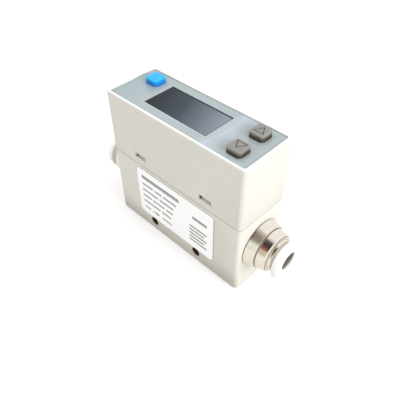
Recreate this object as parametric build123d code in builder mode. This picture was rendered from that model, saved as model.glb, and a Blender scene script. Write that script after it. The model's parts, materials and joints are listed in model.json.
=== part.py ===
from build123d import *
import os

os.makedirs("parts", exist_ok=True)

# Axes: +X runs with the flow from inlet to outlet, +Z is up, the label faces -Y.
# The origin is the middle of the underside.

# Housing outside
body_length = 55.3
body_width = 20.0
body_height = 49.0
corner_radius = 1.4
base_edge_chamfer = 0.35
top_edge_radius = 0.7
wall = 1.6
seam_height = 27.0
seam_gap = 0.3

# Latch frame: a rim in the lower body's pocket, with the catches that hold the upper case
tongue_height = 4.4
tongue_wall = 1.4
tongue_clearance = 0.1
tongue_lead = 0.5
catch_spacing = 28.1
catch_rise = 3.4
catch_depth = 0.7
catch_face = 1.1
catch_clearance = 0.15
catch_side_gap = 0.45
frame_fit = 0.05
window_width = 4.8
window_height = 1.8

# Flow passage and the sockets for the two fittings
flow_height = 15.0
passage_radius = 3.6
socket_radius = 6.4
socket_depth = 11.0
socket_roof = 2.6

# Mounting holes through the lower body
hole_spacing = 20.0
hole_height = 3.8
hole_radius = 1.7

# Label on the front
label_length = 34.5
label_corner = 1.7
label_x = 0.4
label_base = 5.5
label_seam_gap = 1.35
label_thickness = 0.12
label_recess = 0.2
label_gap = 0.3

# Push-in fitting: distances along the flow axis are measured outward from the end face
plug_radius = 6.3
ring_thickness = 1.2
flange_radius = 8.2
flange_length = 3.4
flange_end_radius = 7.25
barrel_radius = 6.95
barrel_shoulder = 5.2
barrel_end_radius = 5.9
barrel_reach = 7.0
flow_bore_radius = 2.2
tube_seat_radius = 3.1
tube_stop = 5.0
chamber_radius = 5.3
chamber_depth = 0.6
ring_bore_radius = 4.4
ring_fit = 0.02
ring_rim_gap = 0.15

# Guide ring in the fitting's mouth
guide_depth = 5.6
guide_press_clearance = 0.02
guide_proud = 0.9

# Release collar
collar_travel = 0.8
collar_bore_radius = 3.1
collar_mouth_radius = 3.5
collar_mouth_chamfer = 0.5
collar_head_radius = 6.25
collar_head_back = 8.95
collar_face = 11.0
collar_front_chamfer = 0.45
collar_sleeve_radius = 4.3
collar_running_clearance = 0.08
collar_lip_radius = 4.75
collar_lip_length = 0.8
collar_lip_gap = 0.1

# Toothed grip ring and tube seal behind the collar
grip_gap = 0.25
grip_sheet = 0.3
grip_tip_radius = 3.15
grip_slots = 6
grip_slot_length = 1.0
grip_slot_width = 0.6
seal_gap = 0.05
seal_tip_radius = 3.05
seal_fit = 0.03
seal_lip = 0.5

# Fork clip that locks each fitting, pushed in from below
clip_inset = 4.6
clip_thickness = 1.0
clip_clearance = 0.1
clip_groove_radius = 5.2
clip_side_wall = 2.6
clip_reach = 4.6
clip_base_inset = 0.6
clip_foot_notch = 3.0

# Flow straightening inside the passage
element_length = 8.0
element_cell = 1.5
element_web = 0.4
screen_offset = 11.0
screen_sheet = 0.25
screen_mesh = 0.8
screen_wire = 0.3
insert_fit = 0.02

# Bypass channel and sensor board
port_offset = 6.0
port_radius = 0.9
gasket_length = 19.0
gasket_width = 6.4
gasket_thickness = 1.0
channel_width = 2.6
sensor_board_length = 33.0
sensor_board_gap = 0.4
sensor_board_x = 1.5
sensor_chip_length = 2.4
sensor_chip_width = 2.0
sensor_chip_height = 0.6
sensor_screw_offset = 12.8
sensor_screw_grip = 2.4
pad_length = 4.0

# Circuit boards and screws
board_thickness = 1.0
board_edge_gap = 0.35
screw_radius = 0.9
screw_fit = 0.05
screw_hole_radius = 1.15
screw_head_radius = 1.5
screw_head_height = 0.6
screw_grip = 3.6
screw_recess_width = 0.45
screw_recess_depth = 0.35
post_radius = 1.6
post_left_reach = 3.02
post_left_inset = 1.8
post_right_reach = 4.48
post_right_inset = 2.7

# Board-to-board link and the inlet for the connector
pin_size = 0.5
pin_pitch = 2.0
pin_count = 4
pin_hole_clearance = 0.03
link_x = 15.5
link_spacer_length = 2.4
link_spacer_height = 2.5
link_pin_proud = 0.4
socket_face_inset = 0.5
socket_length = 7.6
socket_width = 9.6
socket_height = 6.2
socket_wall = 0.8
socket_back_wall = 1.2
socket_gap = 0.1
socket_key_width = 2.6
socket_key_height = 0.45
pin_reach = 3.0
pin_bend_offset = 0.8

# Top of the upper case
top_wall = 1.6
film_thickness = 0.2
film_recess = 0.5
film_margin_end = 1.2
film_margin_side = 0.95
film_gap = 0.08
film_corner = 0.8

# Display
display_inlet_margin = 11.87
display_outlet_margin = 16.23
display_side_margin = 3.15
display_seat = 0.7
display_ledge = 0.5
display_window_thickness = 1.0
display_window_drop = 0.05
display_window_fit = 0.1
lcd_gap = 0.45
lcd_overlap = 0.7
lcd_thickness = 2.0
backlight_overlap = 0.45
backlight_thickness = 3.2

# Keys
key_size = 4.8
key_corner = 1.2
key_proud = 1.8
key_top_chamfer = 0.3
key_gap = 0.15
key_film_gap = 0.2
key_flange = 0.6
key_flange_thickness = 0.8
key_flange_gap = 0.1
key_stem_size = 2.6
key_travel = 0.4
set_key_reach = 5.72
set_key_inset = 4.95
step_key_reach = 10.28

# Push switches under the keys
switch_size = 5.2
switch_height = 3.0
plunger_radius = 0.9
plunger_fit = 0.08
plunger_proud = 0.5
plunger_depth = 1.2
plunger_floor_gap = 0.2

# Places worked out from the sizes above
half_length = body_length / 2
half_width = body_width / 2
lower_top = seam_height - seam_gap / 2
case_bottom = seam_height + seam_gap / 2
tongue_top = seam_height + tongue_height
tongue_inset = wall + tongue_clearance
tongue_length = body_length - 2 * tongue_inset
tongue_width = body_width - 2 * tongue_inset
bay_length = tongue_length - 2 * tongue_wall
bay_width = tongue_width - 2 * tongue_wall
sensor_board_width = bay_width - 2 * sensor_board_gap
deck_height = flow_height + socket_radius + socket_roof
catch_height = seam_height + catch_rise
film_floor = body_height - film_recess
film_top = film_floor + film_thickness
film_length = body_length - 2 * film_margin_end
film_width = body_width - 2 * film_margin_side
display_length = film_length - display_inlet_margin - display_outlet_margin
display_width = film_width - 2 * display_side_margin
display_x = (display_inlet_margin - display_outlet_margin) / 2
display_inlet_end = display_x - display_length / 2
display_outlet_end = display_x + display_length / 2
case_ceiling = film_floor - top_wall
cavity_length = body_length - 2 * wall
cavity_width = body_width - 2 * wall
window_top = film_floor - display_window_drop
window_base = window_top - display_window_thickness
lcd_top = case_ceiling - lcd_gap
lcd_base = lcd_top - lcd_thickness
board_top = lcd_base - backlight_thickness
board_base = board_top - board_thickness
sensor_board_base = deck_height + gasket_thickness
sensor_board_top = sensor_board_base + board_thickness
label_height = lower_top - label_seam_gap - label_base
label_z = label_base + label_height / 2
plug_depth = socket_depth - ring_thickness
clip_x = half_length - clip_inset
clip_width = body_width - 2 * clip_side_wall
clip_top = flow_height + clip_reach
collar_inner = guide_depth - collar_lip_gap - collar_lip_length
guide_bore_radius = collar_sleeve_radius + collar_running_clearance
grip_front = collar_inner - collar_travel - grip_gap
seal_inner = chamber_depth
seal_outer = grip_front - grip_sheet - seal_gap
key_top = film_top + key_proud
key_flange_top = case_ceiling - key_flange_gap
key_flange_base = key_flange_top - key_flange_thickness
switch_top = board_top + switch_height
plunger_top = switch_top + plunger_proud
socket_face = -half_length + socket_face_inset
socket_back = socket_face + socket_length
socket_floor_x = socket_back - socket_back_wall
pin_height = board_base - socket_height / 2
pin_bend_x = socket_back + pin_bend_offset

flow_axis = Axis((0, 0, flow_height), (1, 0, 0))
set_place = (display_inlet_end - set_key_reach, film_width / 2 - set_key_inset)
up_place = (display_outlet_end + step_key_reach, film_width / 4)
down_place = (display_outlet_end + step_key_reach, -film_width / 4)
key_places = [set_place, up_place, down_place]
catch_places = [-catch_spacing / 2, catch_spacing / 2]
post_left_x = display_inlet_end - post_left_reach
post_left_y = post_left_inset - cavity_width / 2
post_right_x = display_outlet_end + post_right_reach
post_right_y = cavity_width / 2 - post_right_inset
post_places = [
    (post_left_x, post_left_y),
    (post_right_x, -post_right_y),
    (post_right_x, post_right_y),
]
sensor_screw_places = [(-sensor_screw_offset, 0), (sensor_screw_offset, 0)]
pin_rows = [(i - (pin_count - 1) / 2) * pin_pitch for i in range(pin_count)]


def outline(points):
    """Points (distance from the outlet end face, radius) as places in the X-Z plane."""
    return [(half_length + u, flow_height + r) for u, r in points]


def save(piece, label):
    """Label one finished piece and write it to its own file."""
    piece.part.label = label
    export_step(piece.part, f"parts/{label}.step")


# Lower body: flow block with its sockets and the pocket for the latch frame
with BuildPart() as lower_body:
    with BuildSketch(Plane.XY):
        RectangleRounded(body_length, body_width, corner_radius)
    extrude(amount=lower_top)
    chamfer(lower_body.edges().group_by(Axis.Z)[0], base_edge_chamfer)
    with BuildSketch(Plane.XY.offset(deck_height)):
        Rectangle(tongue_length + 2 * frame_fit, tongue_width + 2 * frame_fit)
    extrude(amount=lower_top - deck_height, mode=Mode.SUBTRACT)
    with BuildSketch(Plane.XY.offset(deck_height)):
        with Locations(*sensor_screw_places):
            Circle(screw_radius + screw_fit)
    extrude(amount=-sensor_screw_grip, mode=Mode.SUBTRACT)
    # Passage, sockets and the two ports of the bypass
    with BuildSketch(Plane.YZ):
        with Locations((0, flow_height)):
            Circle(passage_radius)
    extrude(amount=half_length, both=True, mode=Mode.SUBTRACT)
    for side in (-1, 1):
        with BuildSketch(Plane.YZ.offset(side * half_length)):
            with Locations((0, flow_height)):
                Circle(socket_radius)
        extrude(amount=-side * socket_depth, mode=Mode.SUBTRACT)
    with BuildSketch(Plane.XY.offset(flow_height)):
        with Locations((-port_offset, 0), (port_offset, 0)):
            Circle(port_radius)
    extrude(amount=deck_height - flow_height, mode=Mode.SUBTRACT)
    # Slots for the fork clips, mounting holes and the label's recess
    for side in (-1, 1):
        with BuildSketch(Plane.XY):
            with Locations((side * clip_x, 0)):
                Rectangle(clip_thickness + 2 * clip_clearance, clip_width + 2 * clip_clearance)
        extrude(amount=clip_top + clip_clearance, mode=Mode.SUBTRACT)
    with BuildSketch(Plane.XZ):
        with Locations((-hole_spacing / 2, hole_height), (hole_spacing / 2, hole_height)):
            Circle(hole_radius)
    extrude(amount=half_width, both=True, mode=Mode.SUBTRACT)
    with BuildSketch(Plane.XZ.offset(half_width)):
        with Locations((label_x, label_z)):
            RectangleRounded(
                label_length + 2 * label_gap, label_height + 2 * label_gap, label_corner + label_gap
            )
    extrude(amount=-label_recess, mode=Mode.SUBTRACT)
    # Relief that keeps the wall clear of the connector above it
    with BuildSketch(Plane.YZ.offset(-half_length)):
        with Locations((0, pin_height)):
            Rectangle(socket_width + 2 * socket_gap, socket_height + 2 * socket_gap)
    extrude(amount=socket_face_inset + socket_length, mode=Mode.SUBTRACT)
save(lower_body, "lower_body")

# Latch frame: rim, the two bars that the sensor board lies on, and the catches
with BuildPart() as latch_frame:
    with BuildSketch(Plane.XY.offset(deck_height)):
        Rectangle(tongue_length, tongue_width)
    extrude(amount=tongue_top - deck_height)
    chamfer(latch_frame.edges().group_by(Axis.Z)[-1], tongue_lead)
    with BuildSketch(Plane.XY.offset(deck_height)):
        Rectangle(bay_length, bay_width)
    extrude(amount=tongue_top - deck_height, mode=Mode.SUBTRACT)
    with BuildSketch(Plane.XY.offset(deck_height)):
        with Locations(*sensor_screw_places):
            Rectangle(pad_length, tongue_width - tongue_wall)
            Circle(screw_hole_radius, mode=Mode.SUBTRACT)
    extrude(amount=gasket_thickness)
    # Hooks that spring into the windows of the upper case
    for x in catch_places:
        for side in (-1, 1):
            root = side * (tongue_width / 2 - tongue_wall / 2)
            tip = side * (tongue_width / 2 + catch_depth)
            low = catch_height - window_height / 2 + catch_clearance
            high = catch_height + window_height / 2 - catch_clearance
            with BuildSketch(Plane.YZ.offset(x)):
                Polygon((root, low), (tip, low), (tip, low + catch_face), (root, high), align=None)
            extrude(amount=window_width / 2 - catch_side_gap, both=True)
    # Relief that keeps the rim clear of the connector above it
    with BuildSketch(Plane.YZ.offset(-half_length)):
        with Locations((0, pin_height)):
            Rectangle(socket_width + 2 * socket_gap, socket_height + 2 * socket_gap)
    extrude(amount=socket_face_inset + socket_length, mode=Mode.SUBTRACT)
save(latch_frame, "latch_frame")

# Upper case: thin shell with the display opening, key openings and catch windows
with BuildPart() as upper_case:
    with BuildSketch(Plane.XY.offset(case_bottom)):
        RectangleRounded(body_length, body_width, corner_radius)
    extrude(amount=body_height - case_bottom)
    fillet(upper_case.edges().group_by(Axis.Z)[-1], top_edge_radius)
    with BuildSketch(Plane.XY.offset(case_bottom)):
        Rectangle(cavity_length, cavity_width)
    extrude(amount=case_ceiling - case_bottom, mode=Mode.SUBTRACT)
    with BuildSketch(Plane.XY.offset(body_height)):
        RectangleRounded(film_length + 2 * film_gap, film_width + 2 * film_gap, film_corner)
    extrude(amount=-film_recess, mode=Mode.SUBTRACT)
    # Display opening with the ledge that carries the window
    with BuildSketch(Plane.XY.offset(film_floor)):
        with Locations((display_x, 0)):
            Rectangle(
                display_length + 2 * (display_seat + display_window_fit),
                display_width + 2 * (display_seat + display_window_fit),
            )
    extrude(amount=window_base - film_floor, mode=Mode.SUBTRACT)
    with BuildSketch(Plane.XY.offset(film_floor)):
        with Locations((display_x, 0)):
            Rectangle(display_length - 2 * display_ledge, display_width - 2 * display_ledge)
    extrude(amount=-top_wall, mode=Mode.SUBTRACT)
    with BuildSketch(Plane.XY.offset(film_floor)):
        with Locations(*key_places):
            RectangleRounded(key_size + 2 * key_gap, key_size + 2 * key_gap, key_corner + key_gap)
    extrude(amount=-top_wall, mode=Mode.SUBTRACT)
    # Windows that the catches spring into
    with BuildSketch(Plane.XZ):
        with Locations(*[(x, catch_height) for x in catch_places]):
            Rectangle(window_width, window_height)
    extrude(amount=half_width, both=True, mode=Mode.SUBTRACT)
    # Posts that carry the main board
    with BuildSketch(Plane.XY.offset(board_top)):
        with Locations(*post_places):
            Circle(post_radius)
    extrude(amount=case_ceiling - board_top)
    with BuildSketch(Plane.XY.offset(board_top)):
        with Locations(*post_places):
            Circle(screw_radius + screw_fit)
    extrude(amount=screw_grip + board_thickness, mode=Mode.SUBTRACT)
    # Opening for the connector in the inlet end
    with BuildSketch(Plane.YZ.offset(-half_length)):
        with Locations((0, pin_height)):
            Rectangle(socket_width + 2 * socket_gap, socket_height + 2 * socket_gap)
    extrude(amount=wall, mode=Mode.SUBTRACT)
save(upper_case, "upper_case")

# Keypad film in the recess on top
with BuildPart() as display_film:
    with BuildSketch(Plane.XY.offset(film_floor)):
        RectangleRounded(film_length, film_width, film_corner)
        with Locations((display_x, 0)):
            Rectangle(display_length, display_width, mode=Mode.SUBTRACT)
        with Locations(*key_places):
            RectangleRounded(
                key_size + 2 * key_film_gap,
                key_size + 2 * key_film_gap,
                key_corner + key_film_gap,
                mode=Mode.SUBTRACT,
            )
    extrude(amount=film_thickness)
save(display_film, "display_film")

# Window plate on its ledge, held down by the film
with BuildPart() as display_window:
    with BuildSketch(Plane.XY.offset(window_base)):
        with Locations((display_x, 0)):
            Rectangle(display_length + 2 * display_seat, display_width + 2 * display_seat)
    extrude(amount=display_window_thickness)
save(display_window, "display_window")

# Display glass on its light guide
with BuildPart() as lcd_glass:
    with BuildSketch(Plane.XY.offset(lcd_base)):
        with Locations((display_x, 0)):
            Rectangle(display_length + 2 * lcd_overlap, display_width + 2 * lcd_overlap)
    extrude(amount=lcd_thickness)
save(lcd_glass, "lcd_glass")

with BuildPart() as backlight:
    with BuildSketch(Plane.XY.offset(board_top)):
        with Locations((display_x, 0)):
            Rectangle(
                display_length + 2 * (lcd_overlap + backlight_overlap),
                display_width + 2 * (lcd_overlap + backlight_overlap),
            )
    extrude(amount=backlight_thickness)
save(backlight, "backlight")

# Main board, screwed to the posts of the upper case
with BuildPart() as main_board:
    with BuildSketch(Plane.XY.offset(board_base)):
        Rectangle(cavity_length - 2 * board_edge_gap, cavity_width - 2 * board_edge_gap)
        with Locations(*post_places):
            Circle(screw_hole_radius, mode=Mode.SUBTRACT)
        with Locations(*[(x, y) for x in (pin_bend_x, link_x) for y in pin_rows]):
            Rectangle(
                pin_size + 2 * pin_hole_clearance,
                pin_size + 2 * pin_hole_clearance,
                mode=Mode.SUBTRACT,
            )
    extrude(amount=board_thickness)
save(main_board, "main_board")

# Screws that hold the main board from below
for name, place in zip(("left", "front", "back"), post_places):
    with BuildPart() as board_screw:
        with BuildSketch(Plane.XY.offset(board_base)):
            with Locations(place):
                Circle(screw_radius)
        extrude(amount=board_thickness + screw_grip)
        with BuildSketch(Plane.XY.offset(board_base)):
            with Locations(place):
                Circle(screw_head_radius)
        extrude(amount=-screw_head_height)
        with BuildSketch(Plane.XY.offset(board_base - screw_head_height)):
            with Locations(place):
                Rectangle(2 * screw_radius, screw_recess_width)
                Rectangle(screw_recess_width, 2 * screw_radius)
        extrude(amount=screw_recess_depth, mode=Mode.SUBTRACT)
    save(board_screw, f"board_screw_{name}")

# Keys with their retaining flange and stem
for name, place in zip(("set", "up", "down"), key_places):
    with BuildPart() as button:
        with BuildSketch(Plane.XY.offset(key_flange_top)):
            with Locations(place):
                RectangleRounded(key_size, key_size, key_corner)
        extrude(amount=key_top - key_flange_top)
        chamfer(button.edges().group_by(Axis.Z)[-1], key_top_chamfer)
        with BuildSketch(Plane.XY.offset(key_flange_base)):
            with Locations(place):
                Rectangle(key_size + 2 * key_flange, key_size + 2 * key_flange)
        extrude(amount=key_flange_thickness)
        with BuildSketch(Plane.XY.offset(plunger_top)):
            with Locations(place):
                Rectangle(key_stem_size, key_stem_size)
        extrude(amount=key_flange_base - plunger_top)
    save(button, f"{name}_button")

# Push switch under each key, and its plunger
for name, place in zip(("set", "up", "down"), key_places):
    well_depth = plunger_depth + key_travel + plunger_floor_gap
    with BuildPart() as push_switch:
        with BuildSketch(Plane.XY.offset(board_top)):
            with Locations(place):
                Rectangle(switch_size, switch_size)
        extrude(amount=switch_height)
        with BuildSketch(Plane.XY.offset(switch_top)):
            with Locations(place):
                Circle(plunger_radius + plunger_fit)
        extrude(amount=-well_depth, mode=Mode.SUBTRACT)
    save(push_switch, f"{name}_switch")

    with BuildPart() as plunger:
        with BuildSketch(Plane.XY.offset(switch_top - plunger_depth)):
            with Locations(place):
                Circle(plunger_radius)
        extrude(amount=plunger_depth + plunger_proud)
    save(plunger, f"{name}_plunger")

# Four-pin inlet under the main board, open through the inlet end
with BuildPart() as connector_socket:
    with BuildSketch(Plane.YZ.offset(socket_face)):
        with Locations((0, pin_height)):
            Rectangle(socket_width, socket_height)
    extrude(amount=socket_length)
    with BuildSketch(Plane.YZ.offset(socket_face)):
        with Locations((0, pin_height)):
            Rectangle(socket_width - 2 * socket_wall, socket_height - 2 * socket_wall)
    extrude(amount=socket_length - socket_back_wall, mode=Mode.SUBTRACT)
    with BuildSketch(Plane.YZ.offset(socket_face)):
        with Locations((0, pin_height + socket_height / 2 - socket_wall)):
            Rectangle(socket_key_width, 2 * socket_key_height)
    extrude(amount=socket_length - socket_back_wall, mode=Mode.SUBTRACT)
    with BuildSketch(Plane.YZ.offset(socket_back)):
        with Locations(*[(y, pin_height) for y in pin_rows]):
            Rectangle(pin_size + 2 * pin_hole_clearance, pin_size + 2 * pin_hole_clearance)
    extrude(amount=-socket_back_wall, mode=Mode.SUBTRACT)
save(connector_socket, "connector_socket")

with BuildPart() as connector_pins:
    for y in pin_rows:
        with BuildSketch(Plane.YZ.offset(socket_floor_x - pin_reach)):
            with Locations((y, pin_height)):
                Rectangle(pin_size, pin_size)
        extrude(amount=pin_bend_x + pin_size / 2 - socket_floor_x + pin_reach)
        with BuildSketch(Plane.XY.offset(pin_height)):
            with Locations((pin_bend_x, y)):
                Rectangle(pin_size, pin_size)
        extrude(amount=board_top - pin_height)
save(connector_pins, "connector_pins")

# Sensor board over the bypass channel
with BuildPart() as sensor_board:
    with BuildSketch(Plane.XY.offset(sensor_board_base)):
        with Locations((sensor_board_x, 0)):
            Rectangle(sensor_board_length, sensor_board_width)
        with Locations(*sensor_screw_places):
            Circle(screw_hole_radius, mode=Mode.SUBTRACT)
        with Locations(*[(link_x, y) for y in pin_rows]):
            Rectangle(
                pin_size + 2 * pin_hole_clearance,
                pin_size + 2 * pin_hole_clearance,
                mode=Mode.SUBTRACT,
            )
    extrude(amount=board_thickness)
save(sensor_board, "sensor_board")

with BuildPart() as sensor_chip:
    with BuildSketch(Plane.XY.offset(sensor_board_base)):
        Rectangle(sensor_chip_length, sensor_chip_width)
    extrude(amount=-sensor_chip_height)
save(sensor_chip, "sensor_chip")

# Gasket whose slot is the bypass channel between the two ports
with BuildPart() as bypass_gasket:
    with BuildSketch(Plane.XY.offset(deck_height)):
        Rectangle(gasket_length, gasket_width)
        SlotOverall(2 * port_offset + channel_width, channel_width, mode=Mode.SUBTRACT)
    extrude(amount=gasket_thickness)
save(bypass_gasket, "bypass_gasket")

for name, place in zip(("left", "right"), sensor_screw_places):
    with BuildPart() as sensor_screw:
        with BuildSketch(Plane.XY.offset(sensor_board_top)):
            with Locations(place):
                Circle(screw_radius)
        extrude(amount=-board_thickness - gasket_thickness - sensor_screw_grip)
        with BuildSketch(Plane.XY.offset(sensor_board_top)):
            with Locations(place):
                Circle(screw_head_radius)
        extrude(amount=screw_head_height)
        with BuildSketch(Plane.XY.offset(sensor_board_top + screw_head_height)):
            with Locations(place):
                Rectangle(2 * screw_radius, screw_recess_width)
                Rectangle(screw_recess_width, 2 * screw_radius)
        extrude(amount=-screw_recess_depth, mode=Mode.SUBTRACT)
    save(sensor_screw, f"sensor_screw_{name}")

# Link between the two boards
with BuildPart() as board_link:
    with BuildSketch(Plane.XY.offset(sensor_board_top)):
        with Locations((link_x, 0)):
            Rectangle(link_spacer_length, pin_count * pin_pitch)
        with Locations(*[(link_x, y) for y in pin_rows]):
            Rectangle(
                pin_size + 2 * pin_hole_clearance,
                pin_size + 2 * pin_hole_clearance,
                mode=Mode.SUBTRACT,
            )
    extrude(amount=link_spacer_height)
save(board_link, "board_link")

with BuildPart() as link_pins:
    with BuildSketch(Plane.XY.offset(sensor_board_base - link_pin_proud)):
        with Locations(*[(link_x, y) for y in pin_rows]):
            Rectangle(pin_size, pin_size)
    extrude(amount=board_top - sensor_board_base + link_pin_proud)
save(link_pins, "link_pins")

# Honeycomb that straightens the flow between the two ports
with BuildPart() as flow_element:
    with BuildSketch(Plane.YZ):
        with Locations((0, flow_height)):
            Circle(passage_radius - insert_fit)
            with HexLocations((element_cell + element_web) / 2, 3, 3):
                RegularPolygon(element_cell / 2, 6, major_radius=False, mode=Mode.SUBTRACT)
    extrude(amount=element_length / 2, both=True)
save(flow_element, "flow_element")

# Screens on both sides of the honeycomb
for name, side in (("inlet", -1), ("outlet", 1)):
    with BuildPart() as screen:
        with BuildSketch(Plane.YZ.offset(side * screen_offset)):
            with Locations((0, flow_height)):
                Circle(passage_radius - insert_fit)
                with GridLocations(screen_mesh + screen_wire, screen_mesh + screen_wire, 4, 4):
                    Rectangle(screen_mesh, screen_mesh, mode=Mode.SUBTRACT)
        extrude(amount=screen_sheet / 2, both=True)
    save(screen, f"{name}_screen")

# Push-in fitting at the outlet: turned body with a flange, barrel and locked plug
with BuildPart() as fitting_body_out:
    with BuildSketch(Plane.XZ):
        with BuildLine():
            Polyline(
                *outline(
                    [
                        (barrel_reach, barrel_end_radius),
                        (barrel_reach, chamber_radius),
                        (chamber_depth, chamber_radius),
                        (chamber_depth, tube_seat_radius),
                        (-tube_stop, tube_seat_radius),
                        (-tube_stop, flow_bore_radius),
                        (-plug_depth, flow_bore_radius),
                        (-plug_depth, plug_radius),
                        (-clip_inset - clip_thickness / 2 - clip_clearance, plug_radius),
                        (-clip_inset - clip_thickness / 2 - clip_clearance, clip_groove_radius),
                        (-clip_inset + clip_thickness / 2 + clip_clearance, clip_groove_radius),
                        (-clip_inset + clip_thickness / 2 + clip_clearance, plug_radius),
                        (0, plug_radius),
                        (0, flange_radius),
                        (flange_length, flange_end_radius),
                        (flange_length, barrel_radius),
                        (barrel_shoulder, barrel_radius),
                    ]
                ),
                close=True,
            )
        make_face()
    revolve(axis=flow_axis)
save(fitting_body_out, "fitting_body_out")

# Guide ring pressed into the mouth, standing a little proud of the barrel
with BuildPart() as guide_ring_out:
    with BuildSketch(Plane.YZ.offset(half_length + guide_depth)):
        with Locations((0, flow_height)):
            Circle(chamber_radius - guide_press_clearance)
            Circle(guide_bore_radius, mode=Mode.SUBTRACT)
    extrude(amount=barrel_reach + guide_proud - guide_depth)
save(guide_ring_out, "guide_ring_out")

# Release collar: head, sleeve through the guide ring and a lip behind it
with BuildPart() as release_collar_out:
    with BuildSketch(Plane.XZ):
        with BuildLine():
            Polyline(
                *outline(
                    [
                        (collar_face, collar_mouth_radius),
                        (collar_face - collar_mouth_chamfer, collar_bore_radius),
                        (collar_inner, collar_bore_radius),
                        (collar_inner, collar_lip_radius),
                        (collar_inner + collar_lip_length, collar_lip_radius),
                        (collar_inner + collar_lip_length, collar_sleeve_radius),
                        (collar_head_back, collar_sleeve_radius),
                        (collar_head_back, collar_head_radius),
                        (collar_face - collar_front_chamfer, collar_head_radius),
                        (collar_face, collar_head_radius - collar_front_chamfer),
                    ]
                ),
                close=True,
            )
        make_face()
    revolve(axis=flow_axis)
save(release_collar_out, "release_collar_out")

# Toothed grip ring: a slotted washer of spring steel
with BuildPart() as grip_ring_out:
    with BuildSketch(Plane.YZ.offset(half_length + grip_front)):
        with Locations((0, flow_height)):
            Circle(chamber_radius - seal_fit)
            Circle(grip_tip_radius, mode=Mode.SUBTRACT)
            with PolarLocations(grip_tip_radius, grip_slots):
                Rectangle(2 * grip_slot_length, grip_slot_width, mode=Mode.SUBTRACT)
    extrude(amount=-grip_sheet)
save(grip_ring_out, "grip_ring_out")

# Tube seal: a lipped rubber ring at the bottom of the chamber
with BuildPart() as tube_seal_out:
    with BuildSketch(Plane.XZ):
        with BuildLine():
            Polyline(
                *outline(
                    [
                        (seal_inner, chamber_radius - seal_fit),
                        (seal_outer, chamber_radius - seal_fit),
                        (seal_outer, seal_tip_radius + seal_lip),
                        (seal_inner, seal_tip_radius),
                    ]
                ),
                close=True,
            )
        make_face()
    revolve(axis=flow_axis)
save(tube_seal_out, "tube_seal_out")

# Sealing ring squeezed between the plug and the bottom of its socket
with BuildPart() as fitting_oring_out:
    with BuildSketch(Plane.YZ.offset(half_length - socket_depth + ring_fit)):
        with Locations((0, flow_height)):
            Circle(socket_radius - ring_rim_gap)
            Circle(ring_bore_radius, mode=Mode.SUBTRACT)
    extrude(amount=ring_thickness - 2 * ring_fit)
save(fitting_oring_out, "fitting_oring_out")

# Fork clip across the plug's groove
with BuildPart() as fitting_clip_out:
    fork_radius = clip_groove_radius + clip_clearance
    with BuildSketch(Plane.YZ.offset(clip_x)):
        with Locations((0, (clip_base_inset + clip_top) / 2)):
            Rectangle(clip_width, clip_top - clip_base_inset)
        with Locations((0, flow_height)):
            Circle(fork_radius, mode=Mode.SUBTRACT)
        with Locations((0, flow_height + clip_reach / 2)):
            Rectangle(2 * fork_radius, clip_reach, mode=Mode.SUBTRACT)
        with Locations((0, clip_base_inset)):
            Rectangle(clip_foot_notch, clip_thickness, mode=Mode.SUBTRACT)
    extrude(amount=clip_thickness / 2, both=True)
save(fitting_clip_out, "fitting_clip_out")

# The inlet end holds the same pieces, mirrored
outlet_pieces = {
    "fitting_body": fitting_body_out,
    "guide_ring": guide_ring_out,
    "release_collar": release_collar_out,
    "grip_ring": grip_ring_out,
    "tube_seal": tube_seal_out,
    "fitting_oring": fitting_oring_out,
    "fitting_clip": fitting_clip_out,
}
for name, outlet_piece in outlet_pieces.items():
    with BuildPart() as inlet_piece:
        mirror(outlet_piece.part, about=Plane.YZ)
    save(inlet_piece, f"{name}_in")

# Label in its recess on the front
with BuildPart() as name_label:
    with BuildSketch(Plane.XZ.offset(half_width - label_recess)):
        with Locations((label_x, label_z)):
            RectangleRounded(label_length, label_height, label_corner)
    extrude(amount=label_thickness)
save(name_label, "name_label")
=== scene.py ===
"""Dresses the flow meter: turned fittings, keys, print and the finish of every piece."""
import json
import math

import bmesh
import bpy
from mathutils import Matrix, Vector


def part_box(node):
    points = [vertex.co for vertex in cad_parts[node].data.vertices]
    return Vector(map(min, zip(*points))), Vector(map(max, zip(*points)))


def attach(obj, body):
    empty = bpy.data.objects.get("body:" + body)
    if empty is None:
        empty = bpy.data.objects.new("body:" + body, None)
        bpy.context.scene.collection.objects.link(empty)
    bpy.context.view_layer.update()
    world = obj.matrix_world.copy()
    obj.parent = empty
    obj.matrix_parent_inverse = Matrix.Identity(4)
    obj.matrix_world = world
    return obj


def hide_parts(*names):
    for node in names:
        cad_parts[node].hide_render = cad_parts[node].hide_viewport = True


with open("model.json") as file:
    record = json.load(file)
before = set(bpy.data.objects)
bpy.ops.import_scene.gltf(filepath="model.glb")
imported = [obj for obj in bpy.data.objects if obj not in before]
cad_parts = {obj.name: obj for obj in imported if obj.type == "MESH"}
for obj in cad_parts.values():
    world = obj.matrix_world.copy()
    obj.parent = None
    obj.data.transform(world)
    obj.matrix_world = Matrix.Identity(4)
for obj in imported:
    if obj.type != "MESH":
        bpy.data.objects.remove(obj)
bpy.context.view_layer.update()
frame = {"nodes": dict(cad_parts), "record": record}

mm = 0.001

# Places read from the frame
end_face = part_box("lower_body")[1].x
front_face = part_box("lower_body")[0].y
flow_height = sum(corner.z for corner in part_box("fitting_body_out")) / 2
film_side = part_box("display_film")[1].y
window_low, window_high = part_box("display_window")
label_low, label_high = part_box("name_label")
rim_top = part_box("upper_case")[1].z
key_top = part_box("up_button")[1].z
step_key_middle = (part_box("up_button")[0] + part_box("up_button")[1]) / 2
mounting = {mount["name"]: mount for mount in frame["record"]["mounts"]}["mounting_holes"]
hole_reach = mounting["dims"]["spacing_x_mm"] / 2 * mm
hole_height = mounting["pos_m"][2]
hole_radius = mounting["dims"]["hole_r_mm"] * mm

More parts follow.
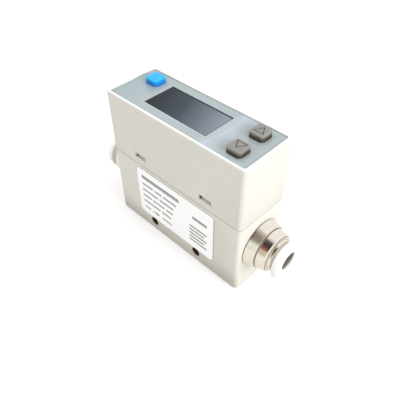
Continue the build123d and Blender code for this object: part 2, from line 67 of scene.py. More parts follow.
# Places that the finishes mark, in mm
window_seat = 0.7
catch_reach = 13.9
catch_gap_reach = 2.3
catch_height = 30.35
crease_place = 12.8
fitting_joints = {"flange": 0.1, "shoulder": 3.5, "lip": 6.85}

# Rounding of moulded and punched edges
housing_edge = 0.14 * mm
film_edge = 0.05 * mm
edge_segments = 3
steps_per_corner = 5
turned_segments = 144

# Joining of the solids' own vertices, and the angles from which an edge counts as an edge
weld_distance = 0.001 * mm
flat_angle = math.radians(0.5)
housing_edge_angle = math.radians(38)
turned_edge_angle = math.radians(40)
key_edge_angle = math.radians(45)

# Turned profiles: distance outward from the end face, radius, rounding of that corner, all in mm
fitting_profile = [
    (7.0, 5.95, 0.18),
    (7.0, 5.3, 0.1),
    (0.6, 5.3, 0),
    (0.6, 3.1, 0),
    (-5.0, 3.1, 0),
    (-5.0, 2.2, 0),
    (-9.8, 2.2, 0),
    (-9.8, 6.3, 0.3),
    (-5.2, 6.3, 0),
    (-5.2, 5.2, 0),
    (-4.0, 5.2, 0),
    (-4.0, 6.3, 0),
    (0, 6.3, 0),
    (0, 8.05, 0),
    (0.16, 8.2, 0.06),
    (0.5, 8.1, 0),
    (3.4, 7.25, 0.14),
    (3.4, 6.7, 0.05),
    (3.66, 6.7, 0.05),
    (3.74, 6.88, 0.06),
    (6.3, 6.46, 0.5),
]
guide_profile = [
    (7.9, 4.38, 0.12),
    (5.6, 4.38, 0),
    (5.6, 5.28, 0),
    (7.9, 5.28, 0.28),
]
collar_profile = [
    (11.0, 3.5, 0.35),
    (10.5, 3.1, 0.35),
    (4.7, 3.1, 0.1),
    (4.7, 4.75, 0.1),
    (5.5, 4.75, 0.1),
    (5.5, 4.3, 0),
    (8.95, 4.3, 0.15),
    (8.95, 6.25, 0.18),
    (11.0, 6.25, 0.5),
]

# Keys
key_flat = 1.95 * mm
key_cap_height = 3.7 * mm
key_corner = 0.85 * mm
key_round = 0.28 * mm
key_crown = 0.03 * mm
key_round_steps = 6
key_corner_shrink = 0.8
key_flange = 0.6 * mm
key_flange_thickness = 0.8 * mm
key_stem_size = 2.6 * mm
key_sharp_corner = 0.1 * mm
arrow_base = 3.6 * mm
arrow_height = 3.0 * mm
arrow_line = 0.24 * mm
arrow_depth = 0.16 * mm
arrow_shift = 0.25 * mm

# Rings of a key's face inside its round edge: share of its half width, of its corner radius
# and of the crown's rise that is still to come
crown_rings = [(0.55, 0.4, 0.3), (0.25, 0.2, 0)]

# Single bars printed on the label: left end, lower edge, length and height, in mm from its
# lower left corner
label_bars = [
    (2.2, 15.9, 17.5, 1.5),
    (2.4, 2.65, 2.8, 0.7),
    (6.2, 2.75, 2.2, 0.5),
    (11.2, 2.65, 4.6, 0.7),
    (25.6, 13.4, 6.2, 1.2),
]
label_left = 2.2
label_bar_height = 0.78
label_bar_gap = 0.8

# Rows of bars under the first one: the length of each bar, from the top row down
label_rows = [(5.2, 3.4, 6.0), (7.4, 6.6), (4.0, 5.6, 3.2), (8.2, 4.4)]
label_row_start = 13.2
label_row_step = 2.55

# Block of rows at the label's right: left end, top row, step, number of rows
label_block = (24.2, 9.4, 1.6, 5)
label_block_length = 7.6
label_block_indent = 1.1

# Head of the flow arrow: foot, tip and height of its middle
flow_arrow = (8.2, 10.0, 3.0)

# Camera, found from the edges of the housing in the photograph
camera_place = Vector((76.4, -76.2, 120.1)) * mm
camera_azimuth = math.radians(44.133)
camera_elevation = math.radians(44.524)
camera_roll = math.radians(-0.174)
camera_lens = 40.41
sensor_width = 36.0

# Light
ambient_level = 1.18
key_power = 5.6
key_place = Vector((0.9, 0.05, 0.32))
key_size = 0.4
floor_size = 4.0
floor_seen = (0.62, 0.61, 0.605, 1)
floor_matt = (0.6, 0.595, 0.58, 1)
floor_gleam = (1, 0.97, 0.9, 1)
floor_gleam_level = 0.2
floor_glow = 0.36
white = (1, 1, 1, 1)

# What metal and film reflect: direction, edge and core of the patch as cosines, depth, colour
reflections = [
    ((0.2, -0.34, 0.92), 0.8, 0.965, 1.0, (0.5, 0.44, 0.37, 1)),
    ((-0.06, -0.3, 0.95), 0.95, 0.985, 1.0, (0.05, 0.045, 0.035, 1)),
    ((-0.06, -0.5, 0.86), 0.945, 0.985, 1.0, (0.02, 0.018, 0.015, 1)),
    ((-0.06, -0.66, 0.75), 0.95, 0.985, 1.0, (0.05, 0.02, 0.015, 1)),
    ((-0.06, -0.84, 0.53), 0.945, 0.985, 1.0, (0.24, 0.07, 0.045, 1)),
    ((-0.06, -0.96, 0.28), 0.95, 0.985, 0.8, (0.55, 0.42, 0.24, 1)),
    ((0.24, -0.9, 0.37), 0.95, 0.985, 1.0, (0.88, 1.0, 0.9, 1)),
]


def shade(red, green, blue):
    """A colour written as screen values from 0 to 255, as the shader wants it."""
    return [((value / 255 + 0.055) / 1.055) ** 2.4 for value in (red, green, blue)] + [1.0]


class Socket:
    """An output of a shader node; arithmetic on it adds Math nodes to its finish."""

    def __init__(self, finish, output):
        self.finish = finish
        self.output = output

    def math(self, operation, *values):
        """A Math node on this value and the ones given."""
        return self.finish.node("Math", {"operation": operation}, (self, *values))

    def __add__(self, other):
        return self.math("ADD", other)

    def __sub__(self, other):
        return self.math("SUBTRACT", other)

    def __rsub__(self, other):
        return self.finish.node("Math", {"operation": "SUBTRACT"}, (other, self))

    def __mul__(self, other):
        return self.math("MULTIPLY", other)

    def __lt__(self, other):
        return self.math("LESS_THAN", other)

    def __gt__(self, other):
        return self.math("GREATER_THAN", other)

    def __abs__(self):
        return self.math("ABSOLUTE")

    __radd__ = __add__
    __rmul__ = __mul__

    def __truediv__(self, other):
        return self.math("DIVIDE", other)

    def either(self, other):
        """The larger of two values: where one mask or the other is on."""
        return self.math("MAXIMUM", other)

    def least(self, other):
        return self.math("MINIMUM", other)

    def root(self):
        return self.math("SQRT")

    def sign(self):
        return self.math("SIGN")

    def fraction(self):
        return self.math("FRACT")

    def fade(self, start, end):
        """0 at start and 1 at end, with a soft change between them."""
        return self.finish.node(
            "MapRange",
            {"interpolation_type": "SMOOTHSTEP"},
            {"Value": self, "From Min": start, "From Max": end},
        )


class Finish:
    """One material, with a single method that adds any node to it."""

    def __init__(self, name, **sockets):
        self.material = bpy.data.materials.new(name)
        self.material.use_nodes = True
        self.tree = self.material.node_tree
        self.shader = self.tree.nodes["Principled BSDF"]
        for socket, value in sockets.items():
            self.feed(socket.replace("_", " "), value)

    def link(self, socket, value):
        if isinstance(value, Socket):
            self.tree.links.new(value.output, socket)
        else:
            socket.default_value = value

    def feed(self, name, value):
        """Set a socket of the main shader, or link to it what varies over the surface."""
        self.link(self.shader.inputs[name], value)

    def node(self, kind, settings=None, values=(), output=0):
        made = self.tree.nodes.new("ShaderNode" + kind)
        for name, setting in (settings or {}).items():
            if name == "stops":
                self.set_stops(made.color_ramp, setting)
            else:
                setattr(made, name, setting)
        pairs = values.items() if isinstance(values, dict) else enumerate(values)
        for name, value in pairs:
            self.link(made.inputs[name], value)
        return Socket(self, made.outputs[output])

    @staticmethod
    def set_stops(ramp, stops):
        while len(ramp.elements) < len(stops):
            ramp.elements.new(1.0)
        for element, (position, colour) in zip(ramp.elements, stops):
            element.position = position
            element.color = colour

    def place(self):
        """The point on the surface, in millimetres of the row frame."""
        point = self.node("TexCoord", output="Object")
        return self.node("VectorMath", {"operation": "SCALE"}, {0: point, "Scale": 1 / mm})

    def axes(self, place):
        return [self.node("SeparateXYZ", values=[place], output=i) for i in range(3)]

    def stretched(self, place, x, y, z):
        return self.node("VectorMath", {"operation": "MULTIPLY"}, [place, (x, y, z)])

    def noise(self, place, grain, detail=2.0):
        """Soft noise from 0 to 1 whose patches are about grain millimetres wide."""
        return self.node("TexNoise", values={"Vector": place, "Scale": 1 / grain, "Detail": detail})

    def tone(self, mask, low, high):
        """The colour low where the mask is 0 and high where it is 1."""
        return self.node("Mix", {"data_type": "RGBA"}, {0: mask, 6: low, 7: high}, output=2)

    def relief(self, height, depth):
        """Raise the surface by depth millimetres where the height is 1."""
        bump = self.node("Bump", values={"Height": height, "Distance": depth * mm, "Strength": 1.0})
        self.feed("Normal", bump)


def housing_plastic():
    """Moulded case with a fine grain, painted shade in its holes, gaps and lower faces and a
    painted highlight on its rim.
    """
    finish = Finish("housing_plastic", Roughness=0.42)
    place = finish.place()
    mottle = finish.noise(place, 5.0, 3.0)
    grain = finish.noise(place, 0.16)
    x, y, z = finish.axes(place)
    face = -front_face / mm
    rim = rim_top / mm
    across = abs(x) - hole_reach / mm
    up = z - hole_height / mm

    # Painted shade in the mounting holes
    round_hole = (across * across + up * up) < (hole_radius / mm + 0.04) ** 2
    inside = round_hole * abs(y).fade(face, face - 0.6)

    # Painted shade towards the foot of the front and back, a painted contact shadow along the line
    # where the case stands, and a painted highlight on the rim round the film
    plastic = finish.tone(mottle, shade(207, 204, 196), shade(213, 210, 203))
    side = abs(y).fade(face - 1.2, face - 0.2)
    plastic = finish.tone(side * z.fade(10.0, 0.0), plastic, shade(178, 175, 164))
    plastic = finish.tone(0.5 * side * z.fade(0.55, 0.1), plastic, shade(110, 100, 88))
    plastic = finish.tone(z.fade(rim - 0.2, rim - 0.05), plastic, shade(247, 243, 238))

    # Painted shade in the narrow gap beside each catch
    beside = abs(x - x.sign() * catch_reach + catch_gap_reach) < 0.24
    catch_gap_shade = beside * (abs(z - catch_height) < 0.9) * (abs(y) < face - 0.25)
    # Both painted shades darken the plastic to one brown
    dark = inside.either(0.8 * catch_gap_shade)
    finish.feed("Base Color", finish.tone(dark, plastic, shade(72, 48, 35)))
    finish.feed("Roughness", 0.38 + 0.1 * grain)
    finish.relief(grain, 0.012)
    return finish


def keypad_print():
    """Printed keypad film, creased beside the display, with painted shade and a painted highlight.
    """
    finish = Finish("keypad_print")
    place = finish.place()
    x, y, z = finish.axes(place)
    speckle = finish.noise(place, 0.5)
    wobble = finish.noise(place, 4.0) - 0.5

    # A bowed crease across the film, a fainter one beside it and a fold by the near key
    bow = y - 1.5
    across = abs(x - crease_place + 0.011 * bow * bow + 1.3 * wobble)
    haze = finish.noise(finish.stretched(place, 0.35, 1.0, 1.0), 1.4)
    crease = 0.45 * across.fade(1.1, 0.1) + 0.35 * across.fade(0.3, 0.0) * haze
    second = 0.4 * abs(across - 1.7).fade(0.7, 0.0) * haze
    fold = abs(y + 3.7 + 0.4 * (x - 12.5)).fade(0.4, 0.0) * abs(x - 14.1).fade(1.8, 1.0)
    lifted = x.fade(10.0, 11.4) * x.fade(17.0, 13.4)
    streaks = crease.either(second).either(0.4 * fold).either(0.34 * lifted)

    # A painted highlight along two sides of the display's hole and painted shade at the film's edge
    middle = (window_low + window_high) / 2 / mm
    half = (window_high - window_low) / 2 / mm - Vector((window_seat, window_seat, 0))
    beside = (x - middle.x - half.x).either(middle.y - half.y - y)
    past = (abs(x - middle.x) - half.x).either(abs(y - middle.y) - half.y)
    rim = beside.fade(-0.05, 0.02) * past.fade(0.3, 0.2)
    margin = (film_side / mm - abs(y)).fade(0.16, 0.04)

    printed = finish.tone(speckle, shade(155, 165, 168), shade(165, 175, 178))
    # Painted shade: the film darkens a little towards the inlet end
    printed = finish.tone(x.fade(-14.0, -26.0), printed, shade(151, 166, 170))
    marked = finish.tone(streaks, printed, shade(192, 199, 214))
    marked = finish.tone(0.8 * rim, marked, shade(208, 213, 220))
    finish.feed("Base Color", finish.tone(0.7 * margin, marked, shade(96, 100, 100)))
    finish.feed("Roughness", 0.24 + 0.14 * speckle)
    finish.relief(streaks + 0.1 * speckle, 0.03)
    return finish


def display_plate():
    """Dark window with a painted reflection that pales it towards the outlet, and painted shade in
    a darker border along its seat.
    """
    finish = Finish("display_plate", Specular_IOR_Level=0.27)
    place = finish.place()
    x, y, z = finish.axes(place)
    low, high = window_low / mm, window_high / mm
    seat = window_seat
    # Painted reflection: a ramp from dark at the inlet end to pale at the outlet end
    along = (x - low.x) / (high.x - low.x) + 0.012 * (y - low.y) - 0.07
    cloud = finish.noise(place, 7.0) - 0.5
    stops = [
        (0.06, shade(2, 14, 26)),
        (0.45, shade(46, 58, 70)),
        (0.75, shade(99, 106, 116)),
        (0.97, shade(126, 134, 146)),
    ]
    painted_reflection = finish.node("ValToRGB", {"stops": stops}, [along + 0.08 * cloud])
    # Painted shade in a darker border along the edge of the film's hole
    inset_x = (x - low.x - seat).least(high.x - seat - x)
    inset_y = (y - low.y - seat).least(high.y - seat - y)
    seat_shade = inset_x.least(inset_y).fade(0.42, 0.26)
    finish.feed("Base Color", finish.tone(seat_shade, painted_reflection, shade(38, 44, 50)))
    finish.feed("Roughness", 0.1 + 0.06 * finish.noise(place, 1.2))
    return finish


def display_glass():
    """Display under the window: rows of its cells with dark lines between them."""
    finish = Finish("display_glass", Roughness=0.08)
    place = finish.place()
    x, y, z = finish.axes(place)
    rows = (y * 2.0).fraction().fade(0.05, 0.12)
    finish.feed("Base Color", finish.tone(rows, shade(96, 108, 100), shade(122, 134, 124)))
    return finish


def key_plastic(name, low, high, side, roughness):
    """Key finish: pale face, sides darkened by painted shade, and ink in the engraved arrow."""
    finish = Finish(name, Specular_IOR_Level=0.35)
    place = finish.place()
    x, y, z = finish.axes(place)
    grain = finish.noise(place, 0.2)
    patch = finish.noise(place, 1.6)
    top = key_top / mm
    face = finish.tone(patch, low, high)
    # Painted shade: the sides darken from the face down
    shaded_walls = finish.tone(z.fade(top - 0.05, top - 1.2), face, side)
    middle = step_key_middle / mm
    centred = abs(x - middle.x).either(abs(abs(y) - middle.y))
    groove = (z < top - 0.06) * (z > top - 0.22) * (centred < key_flat / mm)
    finish.feed("Base Color", finish.tone(groove, shaded_walls, shade(62, 58, 52)))
    finish.feed("Roughness", roughness + 0.12 * grain)
    finish.relief(grain, 0.01)
    return finish


def nickel():
    """Turned and plated metal, with painted shade in the joints of the fitting."""
    finish = Finish("nickel", Metallic=1.0, Roughness=0.12)
    place = finish.place()
    turning = finish.noise(finish.stretched(place, 9.0, 0.05, 0.05), 1.0, 4.0)
    stain = finish.noise(place, 1.8, 3.0)
    x, y, z = finish.axes(place)
    reach = abs(x) - end_face / mm
    up = z - flow_height / mm
    radius = (y * y + up * up).root()
    # Painted shade in the joints: dark lines at the flange rim, the shoulder and the lip
    joint_shade = 0.6 * abs(reach - fitting_joints["shoulder"]).fade(0.16, 0.06)
    at_flange = abs(reach - fitting_joints["flange"]).fade(0.22, 0.1) * (radius > 7.6)
    at_lip = abs(reach - fitting_joints["lip"]).fade(0.13, 0.05) * (radius > 5.7)
    joint_shade = joint_shade.either(0.85 * at_flange).either(0.8 * at_lip)
    plating = finish.tone(stain, shade(232, 225, 211), shade(244, 239, 228))
    finish.feed("Base Color", finish.tone(joint_shade, plating, shade(84, 56, 40)))
    finish.feed("Roughness", 0.13 + 0.06 * turning + 0.06 * stain)
    finish.relief(turning, 0.004)
    return finish


def collar_plastic():
    """White plastic with painted shade down its bore."""
    finish = Finish("collar_plastic", Roughness=0.3)
    place = finish.place()
    patch = finish.noise(place, 2.4)
    grain = finish.noise(place, 0.15)
    x, y, z = finish.axes(place)
    up = z - flow_height / mm
    bore = (y * y + up * up) < 3.3 ** 2
    reach = abs(x) - end_face / mm
    # Painted shade down the bore, deepest away from the mouth
    bore_shade = bore * reach.fade(11.2, 9.6)
    plastic = finish.tone(patch, shade(232, 232, 228), shade(239, 239, 235))
    finish.feed("Base Color", finish.tone(0.9 * bore_shade, plastic, shade(124, 109, 99)))
    finish.feed("Roughness", 0.26 + 0.08 * grain)
    finish.relief(grain, 0.006)
    return finish


def steel(name, low, high, brush):
    """Steel whose brush lines run across the axis that brush stretches most."""
    finish = Finish(name, Metallic=1.0, Roughness=0.3)
    place = finish.place()
    lines = finish.noise(finish.stretched(place, *brush), 0.3, 3.0)
    finish.feed("Base Color", finish.tone(lines, low, high))
    finish.feed("Roughness", 0.24 + 0.14 * lines)
    finish.relief(lines, 0.005)
    return finish


def rubber():
    """Black seal rubber with a little dust."""
    finish = Finish("rubber", Roughness=0.75)
    place = finish.place()
    dust = finish.noise(place, 0.6, 3.0)
    finish.feed("Base Color", finish.tone(dust, shade(26, 26, 26), shade(44, 44, 43)))
    finish.feed("Roughness", 0.65 + 0.2 * dust)
    finish.relief(dust, 0.01)
    return finish


def circuit_board():
    """Green boards with slanting tracks under the lacquer."""
    finish = Finish("circuit_board", Roughness=0.35)
    place = finish.place()
    x, y, z = finish.axes(place)
    tracks = ((x + y) * 0.8).fraction().fade(0.3, 0.36)
    weave = finish.noise(place, 0.4)
    finish.feed("Base Color", finish.tone(tracks, shade(34, 96, 56), shade(24, 74, 42)))
    finish.feed("Roughness", 0.3 + 0.14 * weave)
    finish.relief(tracks, 0.02)
    return finish


def dark_plastic():
    """Black plastic of the connector, the link between the boards and the switches."""
    finish = Finish("dark_plastic", Roughness=0.5)
    place = finish.place()
    grain = finish.noise(place, 0.2)
    finish.feed("Base Color", finish.tone(grain, shade(32, 32, 33), shade(46, 46, 47)))
    finish.feed("Roughness", 0.44 + 0.14 * grain)
    finish.relief(grain, 0.01)
    return finish


def pale_plastic():
    """Milky plastic of the display's light guide and the flow element."""
    finish = Finish("pale_plastic", Roughness=0.45)
    place = finish.place()
    patch = finish.noise(place, 1.5)
    finish.feed("Base Color", finish.tone(patch, shade(226, 226, 222), shade(238, 238, 235)))
    finish.feed("Roughness", 0.4 + 0.1 * patch)
    return finish


def gold_pin():
    """Gold-plated pins, drawn lengthwise."""
    finish = Finish("gold_pin", Metallic=1.0, Roughness=0.2)
    place = finish.place()
    drawn = finish.noise(finish.stretched(place, 1.0, 8.0, 1.0), 0.4)
    finish.feed("Base Color", finish.tone(drawn, shade(212, 180, 96), shade(236, 208, 130)))
    finish.feed("Roughness", 0.16 + 0.12 * drawn)
    return finish


def chip():
    """Grey sensing chip with a very fine grain."""
    finish = Finish("chip", Roughness=0.5)
    place = finish.place()
    grain = finish.noise(place, 0.08)
    finish.feed("Base Color", finish.tone(grain, shade(66, 68, 74), shade(84, 86, 92)))
    finish.feed("Roughness", 0.42 + 0.12 * grain)
    return finish


def label_bar_list():
    """Every bar of the label: the single ones, the rows and the block at the right."""
    bars = list(label_bars)
    for row, lengths in enumerate(label_rows):
        left = label_left
        for length in lengths:
            bars.append((left, label_row_start - label_row_step * row, length, label_bar_height))
            left += length + label_bar_gap
    left, top, step, count = label_block
    for row in range(count):
        length = label_block_length - label_block_indent * (row % 2)
        bars.append((left, top - step * row, length, label_bar_height))
    return bars


def label_film():
    """Glossy white label with plain bars, a small flow arrow and a shadow line at its edge."""
    finish = Finish("label_film", Roughness=0.3)
    place = finish.place()
    x, y, z = finish.axes(place)
    low, high = label_low / mm, label_high / mm
    across, up = x - low.x, z - low.z
    foot, tip, height = flow_arrow
    inked = (abs(up - height) < 0.5 * (tip - across)) * (across > foot) * (across < tip)
    for left, bottom, length, thickness in label_bar_list():
        beside = abs(across - left - length / 2) < length / 2
        inked = inked.either(beside * (abs(up - bottom - thickness / 2) < thickness / 2))
    margin = (high.x - x).least(high.z - z)
    ink = finish.noise(place, 0.25)
    patch = finish.noise(place, 3.0)
    paper = finish.tone(patch, shade(249, 249, 249), shade(253, 253, 253))
    paper = finish.tone(margin.fade(0.2, 0.08), paper, shade(190, 186, 180))
    print_depth = inked * (0.62 + 0.2 * ink)
    finish.feed("Base Color", finish.tone(print_depth, paper, shade(46, 46, 48)))
    finish.feed("Roughness", 0.28 + 0.08 * patch)
    return finish


finishes = {
    "housing": housing_plastic(),
    "keypad_film": keypad_print(),
    "display_plate": display_plate(),
    "display_glass": display_glass(),
    "light_guide": pale_plastic(),
    # The third colour of each key is the painted shade of its sides
    "blue_key": key_plastic(
        "blue_key", shade(22, 166, 232), shade(30, 174, 240), shade(18, 122, 208), 0.24
    ),
    "grey_key": key_plastic(
        "grey_key", shade(131, 129, 124), shade(142, 140, 135), shade(72, 64, 52), 0.32
    ),
    "nickel": nickel(),
    "white_collar": collar_plastic(),
    "spring_steel": steel(
        "spring_steel", shade(186, 186, 184), shade(214, 214, 212), (1, 1, 9)
    ),
    "screw_steel": steel("screw_steel", shade(178, 178, 176), shade(208, 208, 205), (6, 6, 1)),
    "seal": rubber(),
    "circuit_board": circuit_board(),
    "black_plastic": dark_plastic(),
    "pin": gold_pin(),
    "chip": chip(),
    "label": label_film(),
}
node_slots = {part["node"]: part["material_slot"] for part in frame["record"]["subparts"]}
node_bodies = {
    node: body for body, nodes in frame["record"]["behaviour"]["bodies"].items() for node in nodes
}


def mesh_of(name, form):
    """The form as a mesh; the form itself is let go."""
    mesh = bpy.data.meshes.new(name)
    form.to_mesh(mesh)
    form.free()
    return mesh


def finish_nodes():
    """Every solid of the frame gets the finish of its slot."""
    for name, node in frame["nodes"].items():
        material = finishes[node_slots[name]].material
        if not node.material_slots:
            node.data.materials.append(material)
        for slot in node.material_slots:
            slot.material = material


def finished(name, mesh, node):
    """A new piece that stands for one solid of the frame, on its body and with its finish."""
    piece = bpy.data.objects.new(name, mesh)
    bpy.context.scene.collection.objects.link(piece)
    mesh.materials.clear()
    mesh.materials.append(finishes[node_slots[node]].material)
    mesh.shade_smooth()
    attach(piece, node_bodies[node])
    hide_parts(node)
    return piece


def rounded_outline(corners):
    """Points of a closed outline whose corners (a, b, radius) are rounded by arcs."""
    points = []
    for i, (a, b, radius) in enumerate(corners):
        corner = Vector((a, b))
        if not radius:
            points.append(corner)
            continue
        before = (Vector(corners[i - 1][:2]) - corner).normalized()
        after = (Vector(corners[(i + 1) % len(corners)][:2]) - corner).normalized()
        half = before.angle(after) / 2
        centre = corner + (before + after).normalized() * radius / math.sin(half)
        start = corner + before * radius / math.tan(half) - centre
        sweep = start.angle_signed(corner + after * radius / math.tan(half) - centre)
        for step in range(steps_per_corner + 1):
            turn = Matrix.Rotation(-sweep * step / steps_per_corner, 2)
            points.append(centre + turn @ start)
    return points


def turned(name, profile, node, side):
    """A piece turned about the flow axis, at the outlet for side 1 and the inlet for side -1."""
    outline = rounded_outline(profile)
    form = bmesh.new()
    rings = []
    for step in range(turned_segments):
        angle = 2 * math.pi * step / turned_segments
        ring = []
        for reach, radius in outline:
            along = side * (end_face + reach * mm)
            across = radius * mm * math.cos(angle)
            up = flow_height + radius * mm * math.sin(angle)
            ring.append(form.verts.new((along, across, up)))
        rings.append(ring)
    for this, following in zip(rings, rings[1:] + rings[:1]):
        for i in range(len(outline)):
            form.faces.new((this[i - 1], this[i], following[i], following[i - 1]))
    bmesh.ops.recalc_face_normals(form, faces=form.faces)
    mesh = mesh_of(name, form)
    piece = finished(name, mesh, node)
    mesh.set_sharp_from_angle(angle=turned_edge_angle)
    level_normals(piece)


def level_normals(piece):
    """Keep large faces flat in the shading, so that only the rounded edges turn the light."""
    level = piece.modifiers.new("level_normals", "WEIGHTED_NORMAL")
    level.keep_sharp = True
    level.weight = 100


def softened(name, node, width):
    """The solid of the frame with its sharp edges rounded."""
    form = bmesh.new()
    form.from_mesh(frame["nodes"][node].data)
    bmesh.ops.remove_doubles(form, verts=form.verts, dist=weld_distance)
    bmesh.ops.dissolve_limit(form, angle_limit=flat_angle, verts=form.verts, edges=form.edges)
    piece = finished(name, mesh_of(name, form), node)
    soften = piece.modifiers.new("round_edges", "BEVEL")
    soften.width = width
    soften.segments = edge_segments
    soften.limit_method = "ANGLE"
    soften.angle_limit = housing_edge_angle
    soften.use_clamp_overlap = False
    soften.harden_normals = True


def rounded_square(form, centre, half, corner, height):
    """One ring of points round a square with round corners."""
    ring = []
    for quarter in range(4):
        for step in range(steps_per_corner + 1):
            angle = math.pi / 2 * (quarter + step / steps_per_corner)
            side_x = 1 if quarter in (0, 3) else -1
            side_y = 1 if quarter < 2 else -1
            x = side_x * (half - corner) + corner * math.cos(angle)
            y = side_y * (half - corner) + corner * math.sin(angle)
            ring.append(form.verts.new((centre.x + x, centre.y + y, height)))
    return ring


def key_mesh(name, node):
    """A key: stem, flange and a cap with a soft top edge and a slightly crowned face."""
    low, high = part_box(node)
    centre = (low + high) / 2
    flange_half = (high.x - low.x) / 2
    cap_half = flange_half - key_flange
    flange_top = high.z - key_cap_height
    stem_half = key_stem_size / 2
    levels = [
        (stem_half, key_sharp_corner, low.z),
        (stem_half, key_sharp_corner, flange_top - key_flange_thickness),
        (flange_half, key_sharp_corner, flange_top - key_flange_thickness),
        (flange_half, key_sharp_corner, flange_top),
        (cap_half, key_corner, flange_top),
    ]
    for step in range(key_round_steps + 1):
        angle = math.pi / 2 * step / key_round_steps
        inset = key_round * (1 - math.cos(angle))
        rise = key_round * (1 - math.sin(angle)) + key_crown
        corner = key_corner - inset * key_corner_shrink
        levels.append((cap_half - inset, corner, high.z - rise))
    for share, corner, drop in crown_rings:
        levels.append((cap_half * share, key_corner * corner, high.z - key_crown * drop))
    form = bmesh.new()
    rings = [rounded_square(form, centre, *level) for level in levels]
    for lower, upper in zip(rings, rings[1:]):
        for i in range(len(lower)):
            form.faces.new((lower[i - 1], lower[i], upper[i], upper[i - 1]))
    form.faces.new(reversed(rings[0]))
    form.faces.new(rings[-1])
    bmesh.ops.recalc_face_normals(form, faces=form.faces)
    return mesh_of(name, form)


def arrow_cutter(node, toward):
    """A triangular frame to cut into a key's face, pointing to +Y for 1 and to -Y for -1."""
    low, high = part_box(node)
    centre = (low + high) / 2
    middle = centre.y + arrow_shift
    foot = -arrow_height / 2
    outer = [(-arrow_base / 2, foot), (arrow_base / 2, foot), (0, arrow_height / 2)]
    slant = math.atan2(arrow_height, arrow_base / 2)
    shrink = arrow_line / math.tan(slant / 2)
    drop = arrow_line / math.cos(slant)
    inner = [
        (-arrow_base / 2 + shrink, foot + arrow_line),
        (arrow_base / 2 - shrink, foot + arrow_line),
        (0, arrow_height / 2 - drop),
    ]
    form = bmesh.new()
    loops = []
    for outline in (outer, inner):
        for height in (high.z - arrow_depth, high.z + arrow_depth):
            loops.append(
                [form.verts.new((centre.x + x, middle + toward * y, height)) for x, y in outline]
            )
    outer_low, outer_high, inner_low, inner_high = loops
    loops = [outer_low, outer_high, inner_high, inner_low]
    for a, b in zip(loops, loops[1:] + loops[:1]):
        for i in range(3):
            form.faces.new((a[i - 1], a[i], b[i], b[i - 1]))
    bmesh.ops.recalc_face_normals(form, faces=form.faces)
    return mesh_of("arrow_cutter", form)


def engraved(mesh, cutter_mesh):
    """The mesh with the cutter's shape taken out of it."""
    target = bpy.data.objects.new("engraved", mesh)
    cutter = bpy.data.objects.new("cutter", cutter_mesh)
    for item in (target, cutter):
        bpy.context.scene.collection.objects.link(item)
    cut = target.modifiers.new("cut", "BOOLEAN")
    cut.operation = "DIFFERENCE"
    cut.solver = "EXACT"
    cut.object = cutter
    ready = target.evaluated_get(bpy.context.evaluated_depsgraph_get())
    result = bpy.data.meshes.new_from_object(ready)
    for item in (target, cutter):
        bpy.data.objects.remove(item)
    return result


def make_keys():
    """The set key without an arrow, and the up and down keys with theirs."""
    for name, toward in (("set", 0), ("up", 1), ("down", -1)):
        node = f"{name}_button"
        mesh = key_mesh(f"{name}_key_cap", node)
        if toward:
            mesh = engraved(mesh, arrow_cutter(node, toward))
        piece = finished(f"{name}_key_cap", mesh, node)
        mesh.set_sharp_from_angle(angle=key_edge_angle)
        level_normals(piece)


def make_fittings():
    """Body, guide ring and release collar of the fitting at each end."""
    for end, side in (("out", 1), ("in", -1)):
        turned(f"nickel_fitting_{end}", fitting_profile, f"fitting_body_{end}", side)
        turned(f"nickel_guide_{end}", guide_profile, f"guide_ring_{end}", side)
        turned(f"white_collar_{end}", collar_profile, f"release_collar_{end}", side)


def make_housing():
    """The two parts of the case and the keypad film, with their edges rounded."""
    softened("lower_shell", "lower_body", housing_edge)
    softened("upper_shell", "upper_case", housing_edge)
    softened("keypad_sheet", "display_film", film_edge)


def floor_finish():
    """Pale floor: white to the camera, and soft in the object's shadow."""
    finish = Finish("floor")
    seen = finish.node("LightPath", output="Is Camera Ray")
    gleam = floor_gleam_level * finish.node("LightPath", output="Is Glossy Ray")
    lift = finish.node("Emission", values={"Color": floor_gleam, "Strength": gleam})
    matt = finish.node("BsdfDiffuse", values={"Color": floor_matt})
    bare = finish.node("AddShader", values=[matt, lift])
    lit = finish.node("BsdfDiffuse", values={"Color": floor_seen})
    glow = finish.node("Emission", values={"Color": white, "Strength": floor_glow})
    shown = finish.node("AddShader", values=[lit, glow])
    mixed = finish.node("MixShader", values=[seen, bare, shown])
    finish.link(finish.tree.nodes["Material Output"].inputs["Surface"], mixed)
    finish.tree.nodes.remove(finish.shader)
    return finish


def make_floor():
    """A square level with the object's base."""
    half = floor_size / 2
    form = bmesh.new()
    corners = [(-half, -half), (half, -half), (half, half), (-half, half)]
    form.faces.new([form.verts.new((x, y, 0)) for x, y in corners])
    mesh = mesh_of("floor", form)
    mesh.materials.append(floor_finish().material)
    floor = bpy.data.objects.new("floor", mesh)
    bpy.context.scene.collection.objects.link(floor)


class Sky(Finish):
    """The nodes of the world, built with the methods of a finish."""

    def __init__(self, world):
        world.use_nodes = True
        self.tree = world.node_tree
        self.tree.nodes.clear()


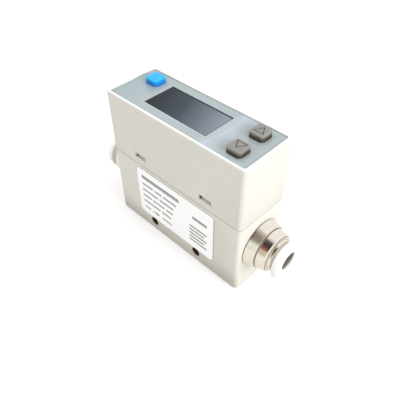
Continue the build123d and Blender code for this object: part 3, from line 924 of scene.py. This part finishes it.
def make_sky():
    """White surroundings; reflections also show darker and coloured parts of the room."""
    world = bpy.data.worlds.new("studio")
    bpy.context.scene.world = world
    sky = Sky(world)
    way = sky.node("TexCoord", output="Generated")
    room = white
    for centre, start, end, depth, tint in reflections:
        facing = [way, Vector(centre).normalized()]
        near = sky.node("VectorMath", {"operation": "DOT_PRODUCT"}, facing, output="Value")
        room = sky.tone(depth * near.fade(start, end), room, tint)
    glossy = sky.node("LightPath", output="Is Glossy Ray")
    seen = sky.node("LightPath", output="Is Camera Ray").either(glossy)
    seen = seen.either(sky.node("LightPath", output="Is Transmission Ray"))
    shown = sky.tone(glossy, white, room)
    level = ambient_level + (1.0 - ambient_level) * seen
    background = sky.node("Background", values={"Color": shown, "Strength": level})
    sky.link(sky.tree.nodes.new("ShaderNodeOutputWorld").inputs["Surface"], background)


def make_lamp():
    """A soft square light that metal and film don't mirror."""
    lamp = bpy.data.lights.new("key_light", "AREA")
    lamp.energy = key_power
    lamp.size = key_size
    holder = bpy.data.objects.new("key_light", lamp)
    bpy.context.scene.collection.objects.link(holder)
    holder.location = key_place
    holder.rotation_euler = (-key_place).to_track_quat("-Z", "Y").to_euler()
    holder.visible_glossy = False


def make_camera():
    """The camera of the photograph, turned by its azimuth, elevation and roll."""
    level = math.cos(camera_elevation)
    sideways, forward = math.sin(camera_azimuth) * level, -math.cos(camera_azimuth) * level
    back = Vector((sideways, forward, math.sin(camera_elevation)))
    right = Vector((0, 0, 1)).cross(back).normalized()
    up = back.cross(right)
    turn = Matrix((right, up, back)).transposed() @ Matrix.Rotation(camera_roll, 3, "Z")
    camera = bpy.data.cameras.new("camera")
    camera.sensor_fit = "HORIZONTAL"
    camera.sensor_width = sensor_width
    camera.lens = camera_lens
    camera.clip_start = 0.005
    holder = bpy.data.objects.new("camera", camera)
    bpy.context.scene.collection.objects.link(holder)
    holder.matrix_world = Matrix.Translation(camera_place) @ turn.to_4x4()
    bpy.context.scene.camera = holder


bpy.context.scene.view_settings.view_transform = "Standard"
finish_nodes()
make_housing()
make_fittings()
make_keys()
make_floor()
make_sky()
make_lamp()
make_camera()
